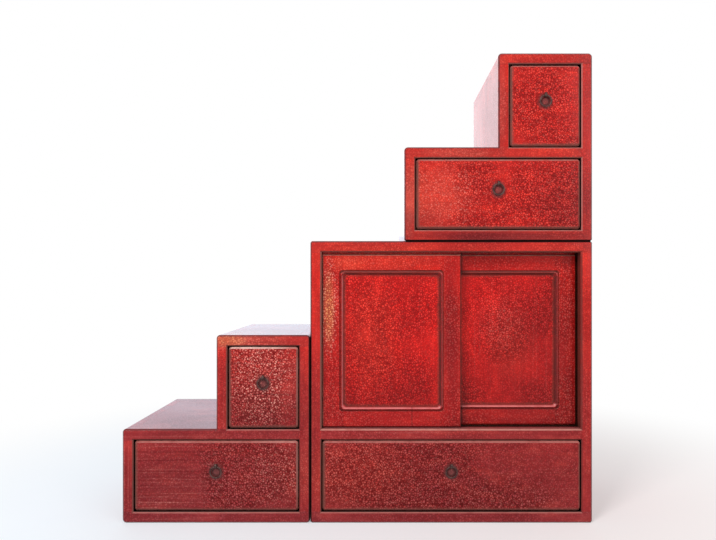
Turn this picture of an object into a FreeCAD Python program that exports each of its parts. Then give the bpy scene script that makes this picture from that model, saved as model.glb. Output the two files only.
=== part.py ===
"""Step chest in three stacking units: a low two-step unit, a square cabinet with two sliding doors and a drawer,
and an upper two-step unit. Millimetres, +Z up, front towards -Y, origin at the bottom centre of the whole chest.

Every size is a named cell of the sheet "sizes". The boards of a unit are cut out of one rounded form, so that their
edges stay flush across the dovetailed corners, and what fits in a board is cut from that board with the same solid.
"""

import FreeCAD, Part
import math
import os
from types import SimpleNamespace

import Sketcher

SIZES = {
    # Stair and carcase boards
    "step_rise": 250.0,
    "step_run": 250.0,
    "chest_depth": 420.0,
    "board": 30.0,
    "unit_gap": 0.8,
    "soft_corner": 10.0,
    "firm_corner": 4.0,
    "face_ease": 4.0,
    "back_board": 9.0,
    "back_rabbet": 8.0,
    # Dovetails and tenons between the carcase boards
    "tail_neck": 70.0,
    "tail_flare": 5.0,
    "tenon_length": 12.0,
    "tenon_width": 90.0,
    "tenon_thickness": 14.0,
    # Drawers
    "reveal": 2.0,
    "drawer_setback": 1.0,
    "front_thickness": 22.0,
    "front_corner": 8.0,
    "front_ease": 5.0,
    "side_thickness": 12.0,
    "side_headroom": 12.0,
    "run_clearance": 0.3,
    "tail_lap": 14.0,
    "drawer_back_thickness": 12.0,
    "drawer_rear_gap": 4.0,
    "bottom_thickness": 6.0,
    "bottom_height": 10.0,
    "bottom_groove": 6.0,
    "lap_neck": 26.0,
    "rear_tail_neck": 44.0,
    "drawer_tail_flare": 3.0,
    # Ring pulls on split pins
    "ring_radius": 14.6,
    "ring_wire": 2.2,
    "pull_height": 27.5,
    "strip_width": 6.0,
    "strip_thickness": 1.6,
    "eye_play": 0.9,
    "eye_rise": 3.0,
    "eye_standoff": 0.5,
    "mortise_play": 0.2,
    "pin_foot": 14.0,
    # Sliding doors and their grooves
    "door_thickness": 24.0,
    "door_setback": 14.0,
    "door_gap": 4.0,
    "door_side_gap": 1.0,
    "door_ease": 2.0,
    "sill_gap": 3.0,
    "head_gap": 6.0,
    "tongue": 8.0,
    "tongue_play": 0.5,
    "lower_groove": 5.0,
    "upper_groove": 12.0,
    "lift_room": 6.0,
    "stile_width": 57.0,
    "overlap_short": 3.0,
    "rail_width": 53.0,
    "panel_corner": 12.0,
    "quirk_width": 4.0,
    "quirk_depth": 4.0,
    "bead_width": 8.0,
    "bead_ease": 1.5,
    "bead_slope": 5.5,
    "panel_setback": 8.0,
    "panel_thickness": 8.0,
    "panel_groove": 7.0,
    "rail_tenon": 25.0,
    "rail_tenon_thickness": 7.0,
    "rail_tenon_inset": 8.0,
    # How far a cutting region reaches past the wood
    "overrun": 5.0,
}
CORNER_TAILS = 3
BOARD_TENONS = 2
FRONT_TAILS = 3
REAR_TAILS = 2
RING_SIDES = 16
BAR_SIDES = 6
EYE_SIDES = 8
NEAR = 0.001

UP = FreeCAD.Rotation(FreeCAD.Vector(1, 0, 0), 90)
DOWN = FreeCAD.Rotation(FreeCAD.Vector(1, 0, 0), -90)
ALONG_X = FreeCAD.Rotation(FreeCAD.Vector(0, 1, 0), 90)
LEVEL = FreeCAD.Rotation()

doc = FreeCAD.newDocument("step_chest")
nodes = []


class Size:
    """A length that holds its value and the sheet expression that gives it, so that sums can be bound."""

    def __init__(self, value, text):
        self.value = float(value)
        self.text = text

    def __add__(self, other):
        other = as_size(other)
        return Size(self.value + other.value, f"({self.text} + {other.text})")

    def __sub__(self, other):
        other = as_size(other)
        return Size(self.value - other.value, f"({self.text} - {other.text})")

    def __mul__(self, factor):
        return Size(self.value * factor, f"({self.text} * {factor})")

    def __truediv__(self, divisor):
        return Size(self.value / divisor, f"({self.text} / {divisor})")

    def __neg__(self):
        return Size(-self.value, f"(-1 * {self.text})")


def as_size(thing):
    return thing if isinstance(thing, Size) else Size(thing, str(thing))


def make_sheet():
    """Writes each size to a cell with its name as the alias, and returns the names as sizes."""
    sheet = doc.addObject("Spreadsheet::Sheet", "sizes")
    for row, (name, value) in enumerate(SIZES.items(), start=1):
        sheet.set(f"A{row}", name)
        sheet.set(f"B{row}", str(value))
        sheet.setAlias(f"B{row}", name)
    doc.recompute()
    return SimpleNamespace(**{name: Size(value, f"sizes.{name}") for name, value in SIZES.items()})


s = make_sheet()


# Bound primitives and booleans


def bind(thing, properties):
    for name, size in properties.items():
        thing.setExpression(name, as_size(size).text)


def place(thing, x, y, z, turn=LEVEL):
    thing.Placement.Rotation = turn
    bind(thing, {"Placement.Base.x": x, "Placement.Base.y": y, "Placement.Base.z": z})
    return thing


def block(name, low, high):
    """A box from its low corner to its high corner, each a triple of sizes."""
    thing = doc.addObject("Part::Box", name)
    spans = [as_size(b) - a for a, b in zip(low, high)]
    bind(thing, dict(zip(("Length", "Width", "Height"), spans)))
    return place(thing, *low)


def rod(name, radius, length, at, turn=LEVEL):
    """A forged round with flat facets, whose corners lie on the radius."""
    thing = doc.addObject("Part::Prism", name)
    thing.Polygon = EYE_SIDES
    bind(thing, {"Circumradius": radius, "Height": length})
    return place(thing, *at, turn)


def polygon_wire(name, sides, radius):
    wire = doc.addObject("Part::RegularPolygon", name)
    wire.Polygon = sides
    bind(wire, {"Circumradius": radius})
    return wire


def ring(name, radius, bar):
    """A ring of forged bar about Z: a many-sided section, swept round a many-sided path with mitred corners."""
    path = polygon_wire(f"{name}_path", RING_SIDES, radius)
    section = place(polygon_wire(f"{name}_section", BAR_SIDES, bar), radius, 0, 0, UP)
    thing = doc.addObject("Part::Sweep", name)
    thing.Sections = [section]
    thing.Spine = (path, [f"Edge{n}" for n in range(1, RING_SIDES + 1)])
    thing.Transition = "Right corner"
    thing.Solid = True
    thing.Frenet = True
    return thing


def tail(name, x_low, x_high, neck, flare, length, at, turn=LEVEL):
    """A dovetail that widens from its neck along its length, which points along +Y before the turn."""
    thing = doc.addObject("Part::Wedge", name)
    half = neck / 2
    bind(thing, {"Xmin": x_low, "Xmax": x_high, "X2min": x_low, "X2max": x_high, "Ymin": 0, "Ymax": length})
    bind(thing, {"Zmin": -half, "Zmax": half, "Z2min": -half - flare, "Z2max": half + flare})
    return place(thing, 0, *at, turn)


def union(name, things):
    thing = doc.addObject("Part::MultiFuse", name)
    thing.Shapes = things
    return thing


def group(name, things):
    thing = doc.addObject("Part::Compound", name)
    thing.Links = things
    return thing


def without(name, base, tool):
    thing = doc.addObject("Part::Cut", name)
    thing.Base, thing.Tool = base, tool
    return thing


def within(name, form, region):
    thing = doc.addObject("Part::Common", name)
    thing.Base, thing.Tool = form, region
    return thing


def node(thing, at=(0, 0, 0), turn=LEVEL):
    """Marks a finished piece, moves it to its place in the chest and keeps it for export under its label."""
    nodes.append(thing)
    return place(thing, *at, turn)


# Bodies made from sketches


def sketch_on(body, name, role):
    sketch = body.newObject("Sketcher::SketchObject", name)
    plane = next(f for f in body.Origin.OriginFeatures if f.Role == role)
    sketch.AttachmentSupport = [(plane, "")]
    sketch.MapMode = "FlatFace"
    return sketch


def hold(sketch, kind, geometry, point, size):
    """Fixes one coordinate of a point, measured from the sketch's origin, to a size."""
    number = sketch.addConstraint(Sketcher.Constraint(kind, -1, 1, geometry, point, size.value))
    sketch.setExpression(f"Constraints[{number}]", size.text)


def polygon(sketch, corners):
    corners = [(as_size(x), as_size(y)) for x, y in corners]
    first = sketch.GeometryCount
    count = len(corners)
    for number, (x, y) in enumerate(corners):
        next_x, next_y = corners[(number + 1) % count]
        start, end = FreeCAD.Vector(x.value, y.value, 0), FreeCAD.Vector(next_x.value, next_y.value, 0)
        sketch.addGeometry(Part.LineSegment(start, end), False)
    for number, (x, y) in enumerate(corners):
        following = first + (number + 1) % count
        sketch.addConstraint(Sketcher.Constraint("Coincident", first + number, 2, following, 1))
        hold(sketch, "DistanceX", first + number, 1, x)
        hold(sketch, "DistanceY", first + number, 1, y)


def rectangle(sketch, low, high):
    polygon(sketch, [low, (high[0], low[1]), high, (low[0], high[1])])


def rounded_rectangle(sketch, low, high, radius):
    """Four sides and four equal arcs that meet them, anticlockwise from the bottom side."""
    (left, bottom), (right, top) = [[as_size(c) for c in corner] for corner in (low, high)]
    first = sketch.GeometryCount
    r = radius.value
    ends = [
        (left.value + r, bottom.value, right.value - r, bottom.value),
        (right.value, bottom.value + r, right.value, top.value - r),
        (right.value - r, top.value, left.value + r, top.value),
        (left.value, top.value - r, left.value, bottom.value + r),
    ]
    centres = [
        (right.value - r, bottom.value + r),
        (right.value - r, top.value - r),
        (left.value + r, top.value - r),
        (left.value + r, bottom.value + r),
    ]
    up = FreeCAD.Vector(0, 0, 1)
    for x1, y1, x2, y2 in ends:
        sketch.addGeometry(Part.LineSegment(FreeCAD.Vector(x1, y1, 0), FreeCAD.Vector(x2, y2, 0)), False)
    for number, (x, y) in enumerate(centres):
        circle = Part.Circle(FreeCAD.Vector(x, y, 0), up, r)
        start = (number - 1) * math.pi / 2
        sketch.addGeometry(Part.ArcOfCircle(circle, start, start + math.pi / 2), False)
    for number in range(4):
        side, arc = first + number, first + 4 + number
        following = first + (number + 1) % 4
        sketch.addConstraint(Sketcher.Constraint("Tangent", side, 2, arc, 1))
        sketch.addConstraint(Sketcher.Constraint("Tangent", arc, 2, following, 1))
        sketch.addConstraint(Sketcher.Constraint("Vertical" if number % 2 else "Horizontal", side))
        if number:
            sketch.addConstraint(Sketcher.Constraint("Equal", first + 4, arc))
    hold(sketch, "DistanceY", first, 1, bottom)
    hold(sketch, "DistanceX", first + 1, 1, right)
    hold(sketch, "DistanceY", first + 2, 1, top)
    hold(sketch, "DistanceX", first + 3, 1, left)
    rounding = sketch.addConstraint(Sketcher.Constraint("Radius", first + 4, r))
    sketch.setExpression(f"Constraints[{rounding}]", radius.text)


def pad(body, sketch, length, backwards):
    feature = body.newObject("PartDesign::Pad", f"{body.Name}_pad")
    feature.Profile = sketch
    feature.Reversed = backwards
    bind(feature, {"Length": length})
    return feature


def pocket(body, name, sketch, depth=None):
    """Cuts from the front towards the back, to a depth or right through."""
    feature = body.newObject("PartDesign::Pocket", name)
    feature.Profile = sketch
    if depth is None:
        feature.Type = "ThroughAll"
    else:
        bind(feature, {"Length": depth})
    return feature


def dress_edges(body, kind, name, size, wanted):
    """Rounds or chamfers the edges of the body's last feature that the test picks."""
    doc.recompute()
    last = body.Tip
    found = [f"Edge{n}" for n, edge in enumerate(last.Shape.Edges, start=1) if wanted(edge)]
    feature = body.newObject(f"PartDesign::{kind}", name)
    feature.Base = (last, found)
    bind(feature, {{"Fillet": "Radius", "Chamfer": "Size"}[kind]: size})
    return feature


def on_front(edge):
    return abs(edge.BoundBox.YMin) < NEAR and abs(edge.BoundBox.YMax) < NEAR


def at_corner(edge, places):
    """Whether an edge runs along Y at one of these X and Z places."""
    box = edge.BoundBox
    if box.YLength < NEAR or box.XLength > NEAR or box.ZLength > NEAR:
        return False
    return any(abs(box.XMin - x.value) < NEAR and abs(box.ZMin - z.value) < NEAR for x, z in places)


def carcase_form(name, outline, openings, soft_places, firm_places):
    """The whole unit as one eased solid, before it is divided into boards. Its front lies at y = 0."""
    body = doc.addObject("PartDesign::Body", f"{name}_form")
    sketch = sketch_on(body, f"{name}_outline", "XZ_Plane")
    polygon(sketch, outline)
    for low, high in openings:
        rectangle(sketch, low, high)
    pad(body, sketch, s.chest_depth, True)
    for kind, manner, size, places in (
        ("Fillet", "soft", s.soft_corner, soft_places),
        ("Chamfer", "firm", s.firm_corner, firm_places),
    ):
        if places:
            sized = [(as_size(x), as_size(z)) for x, z in places]
            dress_edges(body, kind, f"{name}_{manner}_corners", size, lambda e, sized=sized: at_corner(e, sized))
    dress_edges(body, "Chamfer", f"{name}_face_edges", s.face_ease, on_front)
    return body


# Joints between carcase boards


def corner_tails(name, x_low, x_high, shoulder, turn):
    """The row of dovetails at the end of an upright board, from its shoulder through the board that it meets."""
    pitch = s.chest_depth / CORNER_TAILS
    return [
        tail(
            f"{name}_tail_{number}",
            x_low,
            x_high,
            s.tail_neck,
            s.tail_flare,
            s.board,
            (pitch * (number + 0.5), shoulder),
            turn,
        )
        for number in range(CORNER_TAILS)
    ]


def tenon_row(name, low, high):
    """Stub tenons between two X and Z corners, evenly spaced along the depth."""
    pitch = s.chest_depth / BOARD_TENONS
    half = s.tenon_width / 2
    tenons = []
    for number in range(BOARD_TENONS):
        middle = pitch * (number + 0.5)
        ends = (low[0], middle - half, low[1]), (high[0], middle + half, high[1])
        tenons.append(block(f"{name}_tenon_{number}", *ends))
    return tenons


def level_tenons(name, x, z):
    """Tenons at the end of a level board, pointing along X from x, where z is the board's underside."""
    shoulder = (s.board - s.tenon_thickness) / 2
    low = (x, z + shoulder)
    return tenon_row(name, low, (x + s.tenon_length, z + shoulder + s.tenon_thickness))


def upright_board(name, form, x_low, x_high, z_low, z_high, joints, sockets, at):
    """An upright board between two shoulders, with the tails or tenons in joints, less the sockets."""
    span = (x_low, -s.overrun, z_low), (x_high, s.chest_depth + s.overrun, z_high)
    region = union(f"{name}_region", [block(f"{name}_span", *span), *joints])
    if sockets:
        region = without(f"{name}_socketed", region, union(f"{name}_sockets", sockets))
    return node(within(name, form, region), at)


def level_board(name, form, x_low, x_high, z_low, z_high, tenons, sockets, at):
    """A level board that the uprights' tails pass through, with any tenons of its own."""
    span = (x_low, -s.overrun, z_low), (x_high, s.chest_depth + s.overrun, z_high)
    region = block(f"{name}_span", *span)
    if sockets:
        region = without(f"{name}_socketed", region, union(f"{name}_sockets", sockets))
    if tenons:
        region = union(f"{name}_region", [region, *tenons])
    return node(within(name, form, region), at)


def back_boards(name, openings, at):
    """One board for each opening, let into a rabbet round it. Returns the boards before they are moved."""
    boards = []
    for number, (low, high) in enumerate(openings):
        near = (low[0] - s.back_rabbet, s.chest_depth - s.back_board, low[1] - s.back_rabbet)
        far = (high[0] + s.back_rabbet, s.chest_depth, high[1] + s.back_rabbet)
        boards.append(block(f"{name}_board_{number}", near, far))
    node(group(name, boards), at)
    return boards


def stepped_unit(name, width, soft_base, at):
    """A unit of two steps that rise to the right: one wide drawer below, one narrow drawer above it."""
    run, rise, board, over = s.step_run, s.step_rise, s.board, s.overrun
    top = rise * 2
    openings = [
        ((board, board), (width - board, rise - board)),
        ((run + board, rise), (width - board, top - board)),
    ]
    outline = [(0, 0), (width, 0), (width, top), (run, top), (run, rise), (0, rise)]
    upper_places = [(width, top), (run, top), (0, rise)]
    base_places = [(0, 0), (width, 0)]
    soft, firm = (upper_places + base_places, []) if soft_base else (upper_places, base_places)
    body = carcase_form(name, outline, openings, soft, firm)
    backs = back_boards(f"{name}_back", openings, at)
    form = without(f"{name}_rabbeted", body, union(f"{name}_rabbets", backs))

    inner = width - board
    outer_foot = corner_tails(f"{name}_outer_foot", -over, board, board, DOWN)
    outer_head = corner_tails(f"{name}_outer_head", -over, board, rise - board, UP)
    inner_foot = corner_tails(f"{name}_inner_foot", inner, width + over, board, DOWN)
    inner_head = corner_tails(f"{name}_inner_head", inner, width + over, top - board, UP)
    riser_head = corner_tails(f"{name}_riser_head", run - over, run + board, top - board, UP)
    tread_tenons = level_tenons(f"{name}_tread", inner, rise - board)
    shoulder = (board - s.tenon_thickness) / 2
    riser_low = (run + shoulder, rise - s.tenon_length)
    riser_tenons = tenon_row(f"{name}_riser", riser_low, (run + shoulder + s.tenon_thickness, rise))

    foot = (-over, width + over, -over, board)
    level_board(f"{name}_bottom", form, *foot, [], outer_foot + inner_foot, at)
    tread = (-over, inner, rise - board, rise)
    level_board(f"{name}_tread", form, *tread, tread_tenons, outer_head + riser_tenons, at)
    head = (run - over, width + over, top - board, top + over)
    level_board(f"{name}_top", form, *head, [], riser_head + inner_head, at)
    outer = (-over, board, board, rise - board)
    upright_board(f"{name}_outer_side", form, *outer, outer_foot + outer_head, [], at)
    riser = (run - over, run + board, rise, top - board)
    upright_board(f"{name}_riser", form, *riser, riser_head + riser_tenons, [], at)
    tall = (inner, width + over, board, top - board)
    upright_board(f"{name}_inner_side", form, *tall, inner_foot + inner_head, tread_tenons, at)
    return openings


def door_grooves(low, high):
    """Two shallow grooves in the sill and two deep ones in the top board, which the doors' tongues run in."""
    grooves = []
    for number, y in enumerate((front_door_y, rear_door_y)):
        near = y + (s.door_thickness - s.tongue) / 2 - s.tongue_play
        far = near + s.tongue + s.tongue_play * 2
        sill = (low[0], near, low[1] - s.lower_groove), (high[0], far, low[1])
        grooves.append(block(f"sill_groove_{number}", *sill))
        head = (low[0], near, high[1]), (high[0], far, high[1] + s.upper_groove)
        grooves.append(block(f"head_groove_{number}", *head))
    return grooves


def cabinet(name, at):
    """The square unit: a space behind sliding doors over one wide drawer. The sill and top board hold the grooves."""
    rise, board, over = s.step_rise, s.board, s.overrun
    width, top = s.step_run * 3, rise * 3
    inner = width - board
    drawer = ((board, board), (inner, rise - board))
    doors = ((board, rise), (inner, top - board))
    outline = [(0, 0), (width, 0), (width, top), (0, top)]
    body = carcase_form(name, outline, [drawer, doors], [], outline)
    backs = back_boards(f"{name}_back", [drawer, doors], at)
    form = without(f"{name}_grooved", body, union(f"{name}_hollows", backs + door_grooves(*doors)))

    left_foot = corner_tails(f"{name}_left_foot", -over, board, board, DOWN)
    left_head = corner_tails(f"{name}_left_head", -over, board, top - board, UP)
    right_foot = corner_tails(f"{name}_right_foot", inner, width + over, board, DOWN)
    right_head = corner_tails(f"{name}_right_head", inner, width + over, top - board, UP)
    left_tenons = level_tenons(f"{name}_sill_left", board - s.tenon_length, rise - board)
    right_tenons = level_tenons(f"{name}_sill_right", inner, rise - board)

    foot = (-over, width + over, -over, board)
    level_board(f"{name}_bottom", form, *foot, [], left_foot + right_foot, at)
    sill = (board, inner, rise - board, rise)
    level_board(f"{name}_sill", form, *sill, left_tenons + right_tenons, [], at)
    head = (-over, width + over, top - board, top + over)
    level_board(f"{name}_top", form, *head, [], left_head + right_head, at)
    left = (-over, board, board, top - board)
    upright_board(f"{name}_left_side", form, *left, left_foot + left_head, left_tenons, at)
    right = (inner, width + over, board, top - board)
    upright_board(f"{name}_right_side", form, *right, right_foot + right_head, right_tenons, at)
    return drawer, doors


# Drawers


def drawer_tails(name, count, across, heights, neck, y, length, turn):
    """A row of tails at one end of a drawer side, evenly spaced between two heights."""
    pitch = (heights[1] - heights[0]) / count
    return [
        tail(
            f"{name}_{number}",
            across[0],
            across[1],
            neck,
            s.drawer_tail_flare,
            length,
            (y, heights[0] + pitch * (number + 0.5)),
            turn,
        )
        for number in range(count)
    ]


def drawer(name, opening, at):
    """A dovetailed drawer that fills an opening. Its front lies at y = 0, its middle at x = 0 and its floor at z = 0."""
    (left, floor), (right, ceiling) = opening
    span, height = as_size(right) - left, as_size(ceiling) - floor
    half, inside = span / 2 - s.reveal, span / 2 - s.reveal - s.side_thickness
    rear = s.chest_depth - s.back_board - s.drawer_rear_gap - s.drawer_setback
    back = rear - s.drawer_back_thickness
    base, top = s.run_clearance, height - s.side_headroom
    panel_top = s.bottom_height + s.bottom_thickness
    place_in_chest = (at[0] + left + span / 2, at[1] + s.drawer_setback, at[2] + floor)

    panel_low = (-inside - s.bottom_groove, s.front_thickness - s.bottom_groove, s.bottom_height)
    panel = block(f"{name}_panel", panel_low, (inside + s.bottom_groove, rear, panel_top))
    front_tails, rear_tails, sides = [], [], []
    for hand, x_low, x_high in (("left", -half, -inside), ("right", inside, half)):
        across = (x_low, x_high)
        lap = (s.lap_neck, s.front_thickness, s.tail_lap, UP * UP)
        laps = drawer_tails(f"{name}_{hand}_lap", FRONT_TAILS, across, (base, top), *lap)
        end = (s.rear_tail_neck, back, s.drawer_back_thickness, LEVEL)
        ends = drawer_tails(f"{name}_{hand}_end", REAR_TAILS, across, (panel_top, top), *end)
        length = block(f"{name}_{hand}_length", (x_low, s.front_thickness, base), (x_high, back, top))
        heel = block(f"{name}_{hand}_heel", (x_low, back, base), (x_high, rear, panel_top))
        whole = union(f"{name}_{hand}_whole", [length, heel, *laps, *ends])
        sides.append(without(f"{name}_{hand}_side", whole, panel))
        front_tails += laps
        rear_tails += ends

    pin_z = height / 2 + s.pull_height
    body = doc.addObject("PartDesign::Body", f"{name}_front_form")
    sketch = sketch_on(body, f"{name}_front_outline", "XZ_Plane")
    rounded_rectangle(sketch, (-half, s.reveal), (half, height - s.reveal), s.front_corner)
    pad(body, sketch, s.front_thickness, True)
    dress_edges(body, "Chamfer", f"{name}_front_edges", s.front_ease, on_front)
    mortise_half = s.strip_width / 2 + s.mortise_play
    mortise_rise = s.strip_thickness + s.mortise_play
    mortise_low = (-mortise_half, -s.overrun, pin_z - mortise_rise)
    mortise_high = (mortise_half, s.front_thickness + s.overrun, pin_z + mortise_rise)
    mortise = block(f"{name}_pin_mortise", mortise_low, mortise_high)
    sockets = union(f"{name}_front_sockets", [*front_tails, panel, mortise])
    node(without(f"{name}_front", body, sockets), place_in_chest)
    node(group(f"{name}_sides", sides), place_in_chest)
    blank = block(f"{name}_back_blank", (-half, back, panel_top), (half, rear, top))
    node(without(f"{name}_back", blank, union(f"{name}_back_sockets", rear_tails)), place_in_chest)
    node(group(f"{name}_bottom", [panel]), place_in_chest)
    pull(name, pin_z, place_in_chest)


def oval_bar(name, radius, half, low, high):
    """An upright oval that runs along X: a rod at each height and the block between them."""
    rods = [
        rod(f"{name}_{place}", radius, half * 2, (-half, -eye_reach, z), ALONG_X)
        for place, z in (("lower", low), ("upper", high))
    ]
    between = block(f"{name}_between", (-half, -eye_reach - radius, low), (half, -eye_reach + radius, high))
    return union(name, [*rods, between])


def pull(name, pin_z, at):
    """A ring that hangs in the eye of a split pin: a strip folded round it, through the front and bent over behind."""
    half, thickness = s.strip_width / 2, s.strip_thickness
    low, high = pin_z - s.eye_rise / 2, pin_z + s.eye_rise / 2
    outer = oval_bar(f"{name}_eye_outside", eye_inner + thickness, half, low, high)
    bore = oval_bar(f"{name}_eye_bore", eye_inner, half + s.overrun, low, high)
    eye = without(f"{name}_eye", outer, bore)
    rear = s.front_thickness + thickness
    leg_low = (-half, -s.eye_standoff - thickness / 2, pin_z - thickness)
    legs = block(f"{name}_legs", leg_low, (half, rear, pin_z + thickness))
    feet_low = (-half, s.front_thickness, pin_z - s.pin_foot)
    feet = block(f"{name}_feet", feet_low, (half, rear, pin_z + s.pin_foot))
    node(union(f"{name}_split_pin", [eye, legs, feet]), at)
    hanging = (at[0], at[1] - eye_reach, at[2] + low - s.ring_radius)
    node(ring(f"{name}_ring", s.ring_radius, s.ring_wire), hanging, UP)


# Sliding doors


def door_form(name, width, low, high, shoulders, tongues):
    """The door frame as one solid: a tongued slab with a round-cornered opening. A quirk and a bead that slopes down
    to the panel edge it."""
    body = doc.addObject("PartDesign::Body", f"{name}_form")
    tongue_low = (s.door_thickness - s.tongue) / 2
    tongue_high = tongue_low + s.tongue
    profile = sketch_on(body, f"{name}_profile", "YZ_Plane")
    polygon(
        profile,
        [
            (0, shoulders[0]),
            (tongue_low, shoulders[0]),
            (tongue_low, tongues[0]),
            (tongue_high, tongues[0]),
            (tongue_high, shoulders[0]),
            (s.door_thickness, shoulders[0]),
            (s.door_thickness, shoulders[1]),
            (tongue_high, shoulders[1]),
            (tongue_high, tongues[1]),
            (tongue_low, tongues[1]),
            (tongue_low, shoulders[1]),
            (0, shoulders[1]),
        ],
    )
    pad(body, profile, width, False)
    window = sketch_on(body, f"{name}_window", "XZ_Plane")
    rounded_rectangle(window, low, high, s.panel_corner)
    pocket(body, f"{name}_opening", window)
    quirk = sketch_on(body, f"{name}_quirk_outline", "XZ_Plane")
    for reach in (s.bead_width, s.bead_width + s.quirk_width):
        near, far = (low[0] - reach, low[1] - reach), (high[0] + reach, high[1] + reach)
        rounded_rectangle(quirk, near, far, s.panel_corner + reach)
    pocket(body, f"{name}_quirk", quirk, s.quirk_depth)

    def within_reach(edge, reach):
        box = edge.BoundBox
        near = [(corner - reach).value - NEAR for corner in low]
        far = [(corner + reach).value + NEAR for corner in high]
        beyond = box.XMin < near[0] or box.ZMin < near[1] or box.XMax > far[0] or box.ZMax > far[1]
        return on_front(edge) and not beyond

    def on_slope(edge):
        return within_reach(edge, as_size(0))

    def on_bead(edge):
        return within_reach(edge, s.bead_width) and not within_reach(edge, s.bead_slope)

    def on_rim(edge):
        box = edge.BoundBox
        flat_rim = abs(box.ZMin - shoulders[0].value) < NEAR and box.ZLength < NEAR
        flat_rim = flat_rim or (abs(box.ZMax - shoulders[1].value) < NEAR and box.ZLength < NEAR)
        upright_rim = box.XMax < NEAR or box.XMin > width.value - NEAR
        return on_front(edge) and (flat_rim or upright_rim)

    dress_edges(body, "Chamfer", f"{name}_slope", s.bead_slope, on_slope)
    dress_edges(body, "Chamfer", f"{name}_bead", s.bead_ease, on_bead)
    dress_edges(body, "Chamfer", f"{name}_rim", s.door_ease, on_rim)
    return body


def sliding_door(name, opening, y, to_the_right, at):
    """A framed door: two stiles, two tenoned rails and a panel in a groove. Its origin is its left end on the sill."""
    (left, sill), (right, head) = opening
    clear, height = as_size(right) - left, as_size(head) - sill
    overlap = s.stile_width - s.overlap_short
    width = (clear - s.door_side_gap * 2 + overlap) / 2
    shoulders = (s.sill_gap, height - s.head_gap)
    tongues = (s.run_clearance - s.lower_groove, height + s.upper_groove - s.lift_room)
    low = (s.stile_width, shoulders[0] + s.rail_width)
    high = (width - s.stile_width, shoulders[1] - s.rail_width)
    body = door_form(name, width, low, high, shoulders, tongues)

    panel_near = (low[0] - s.panel_groove, s.panel_setback, low[1] - s.panel_groove)
    panel_far = (high[0] + s.panel_groove, s.panel_setback + s.panel_thickness, high[1] + s.panel_groove)
    panel = block(f"{name}_panel_blank", panel_near, panel_far)
    grooved = without(f"{name}_grooved", body, panel)

    over = s.overrun
    bottom, top = tongues[0] - over, tongues[1] + over
    tenon_y = (s.door_thickness - s.rail_tenon_thickness) / 2 + s.panel_thickness / 2
    tenons = {"left": [], "right": []}
    for rail, z_low, z_high in (("lower", shoulders[0], low[1]), ("upper", high[1], shoulders[1])):
        near_z, far_z = z_low + s.rail_tenon_inset, z_high - s.rail_tenon_inset
        for hand, x in (("left", s.stile_width - s.rail_tenon), ("right", width - s.stile_width)):
            ends = (x, tenon_y, near_z), (x + s.rail_tenon, tenon_y + s.rail_tenon_thickness, far_z)
            tenons[hand].append(block(f"{name}_{rail}_{hand}_tenon", *ends))

    start = at[0] + right - s.door_side_gap - width if to_the_right else at[0] + left + s.door_side_gap
    place_in_chest = (start, at[1] + y, at[2] + sill)
    for hand, x_low, x_high in (
        ("left", -over, s.stile_width),
        ("right", width - s.stile_width, width + over),
    ):
        span = (x_low, -over, bottom), (x_high, s.door_thickness + over, top)
        blank = block(f"{name}_{hand}_span", *span)
        mortises = union(f"{name}_{hand}_mortises", tenons[hand])
        region = without(f"{name}_{hand}_region", blank, mortises)
        node(within(f"{name}_{hand}_stile", grooved, region), place_in_chest)
    middle = (low[1] + high[1]) / 2
    for number, (rail, z_low, z_high) in enumerate((("lower", bottom, middle), ("upper", middle, top))):
        span = (s.stile_width, -over, z_low), (width - s.stile_width, s.door_thickness + over, z_high)
        own = [tenons["left"][number], tenons["right"][number]]
        region = union(f"{name}_{rail}_region", [block(f"{name}_{rail}_span", *span), *own])
        node(within(f"{name}_{rail}_rail", grooved, region), place_in_chest)
    node(group(f"{name}_panel", [panel]), place_in_chest)


# The chest

front_door_y = s.door_setback
rear_door_y = s.door_setback + s.door_thickness + s.door_gap

# The ring pulls stand proud of the fronts, so the origin lies halfway between their front and the chest's back.
eye_inner = s.ring_wire + s.eye_play
eye_reach = s.eye_standoff + s.strip_thickness + eye_inner
pull_proud = eye_reach + eye_inner + s.strip_thickness - s.drawer_setback
front_y = (pull_proud - s.chest_depth) / 2
whole_width = s.step_run * 5
left_at = (-whole_width / 2, front_y, as_size(0))
cabinet_at = (s.step_run * 2 - whole_width / 2, front_y, as_size(0))
upper_at = (s.step_run * 3 - whole_width / 2, front_y, s.step_rise * 3)


def build():
    wide, narrow = stepped_unit("left_unit", s.step_run * 2 - s.unit_gap, True, left_at)
    drawer("left_wide_drawer", wide, left_at)
    drawer("left_narrow_drawer", narrow, left_at)

    drawer_opening, door_opening = cabinet("cabinet", cabinet_at)
    drawer("cabinet_drawer", drawer_opening, cabinet_at)
    sliding_door("left_door", door_opening, front_door_y, False, cabinet_at)
    sliding_door("right_door", door_opening, rear_door_y, True, cabinet_at)

    wide, narrow = stepped_unit("upper_unit", s.step_run * 2, False, upper_at)
    drawer("upper_wide_drawer", wide, upper_at)
    drawer("upper_narrow_drawer", narrow, upper_at)


def check_and_export():
    """Stops on a failed feature or a bad solid, then writes each piece to its own file."""
    doc.recompute()
    failed = [o.Name for o in doc.Objects if {"Invalid", "Error"} & set(o.State)]
    if failed:
        raise RuntimeError(f"these objects failed: {failed}")
    for thing in nodes:
        shape = thing.Shape
        if shape.isNull() or not shape.isValid() or not shape.Solids:
            raise RuntimeError(f"{thing.Label} has no valid solid")
    os.makedirs("parts", exist_ok=True)
    for thing in nodes:
        thing.Shape.exportStep(os.path.join("parts", f"{thing.Label}.step"))
        print(f"{thing.Label}: {len(thing.Shape.Solids)} solid(s), {thing.Shape.Volume / 1000:.1f} cm3")


build()
check_and_export()
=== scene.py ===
"""Looks of the red lacquered step chest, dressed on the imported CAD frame. Metres, +Z up, front towards -Y."""

import math

import bpy
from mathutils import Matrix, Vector, noise


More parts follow.
